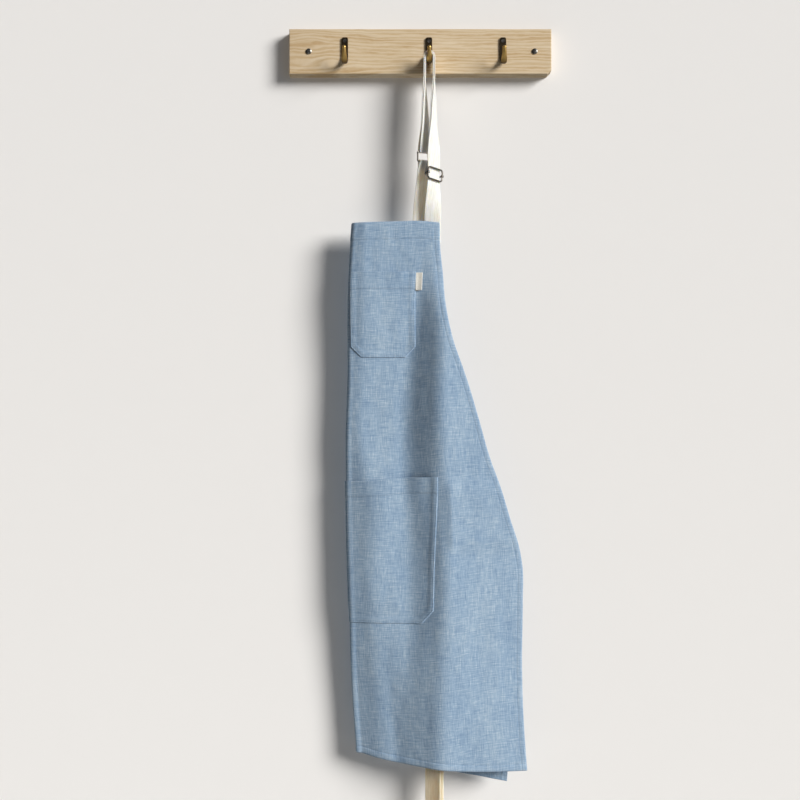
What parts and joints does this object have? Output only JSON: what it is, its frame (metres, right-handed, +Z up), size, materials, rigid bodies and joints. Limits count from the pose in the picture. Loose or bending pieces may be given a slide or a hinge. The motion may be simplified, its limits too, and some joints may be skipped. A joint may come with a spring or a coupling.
{
  "type": "apron on a hook",
  "caption": "Bib apron folded in half and hung by its webbing neck strap on a brass hook of a wooden wall rail, with patch pockets, a strap slider and waist ties.",
  "frame": {"origin": "centre of the rail's back face, on the wall", "axes": "+Z up, +X to the right of a person facing the wall, +Y into the wall, so the apron hangs on the -Y side"},
  "size_m": [0.4, 0.0631, 1.5945],
  "materials": {
    "rail_wood": "matte",
    "antique_brass": "satin",
    "screw_steel": "satin",
    "dark_steel": "satin",
    "linen": "matte",
    "cotton_webbing": "matte",
    "label_tape": "matte"
  },
  "bodies": {
    "rail": {"rail_board": "rail_wood", "wall_screw_left": "screw_steel", "wall_screw_right": "screw_steel", "hook_left": "antique_brass", "hook_middle": "antique_brass", "hook_right": "antique_brass", "hook_screw_left_upper": "antique_brass", "hook_screw_left_lower": "antique_brass", "hook_screw_middle_upper": "antique_brass", "hook_screw_middle_lower": "antique_brass", "hook_screw_right_upper": "antique_brass", "hook_screw_right_lower": "antique_brass"},
    "strap_saddle": {"neck_strap_saddle_inner": "cotton_webbing", "neck_strap_saddle_outer": "cotton_webbing"},
    "strap_top": {"neck_strap_top_left_front": "cotton_webbing", "neck_strap_top_left_back": "cotton_webbing", "neck_strap_top_right_front": "cotton_webbing", "neck_strap_top_right_back": "cotton_webbing"},
    "apron": {"neck_strap_left_leg": "cotton_webbing", "neck_strap_front_run": "cotton_webbing", "neck_strap_end_run": "cotton_webbing", "back_strap": "cotton_webbing", "ring": "dark_steel", "apron_cloth": "linen", "chest_pocket": "linen", "lower_pocket_front": "linen", "lower_pocket_back": "linen", "side_label": "label_tape", "waist_tie_front_tucked": "cotton_webbing", "waist_tie_back_tucked": "cotton_webbing"},
    "slider": {"slider_frame": "dark_steel", "slider_centre_bar": "dark_steel", "neck_strap_sewn_end": "cotton_webbing"},
    "tie_front": {"waist_tie_front_hanging": "cotton_webbing"},
    "tie_back": {"waist_tie_back_hanging": "cotton_webbing"}
  },
  "joints": [
    {"name": "lift_off", "type": "slide", "parent": "rail", "child": "strap_saddle", "axis": [0, 0, 1], "range_m": [0, 0.016]},
    {"name": "apron_swing", "type": "hinge", "parent": "strap_saddle", "child": "strap_top", "pos_m": [0.012, -0.0403, -0.0435], "axis": [0, 1, 0], "range_deg": [-12, 12]},
    {"name": "apron_tilt", "type": "hinge", "parent": "strap_top", "child": "apron", "pos_m": [0.012, -0.04397, -0.075], "axis": [-1, 0, 0], "range_deg": [-1, 18]},
    {"name": "slider_travel", "type": "slide", "parent": "apron", "child": "slider", "axis": [0, 0, 1], "range_m": [-0.004, 0.02]},
    {"name": "tie_front_swing", "type": "hinge", "parent": "apron", "child": "tie_front", "pos_m": [0.019, -0.0449, -0.985], "axis": [0, 1, 0], "range_deg": [-8, 8]},
    {"name": "tie_back_swing", "type": "hinge", "parent": "apron", "child": "tie_back", "pos_m": [0.023, -0.0421, -0.985], "axis": [0, 1, 0], "range_deg": [-8, 8]}
  ]
}
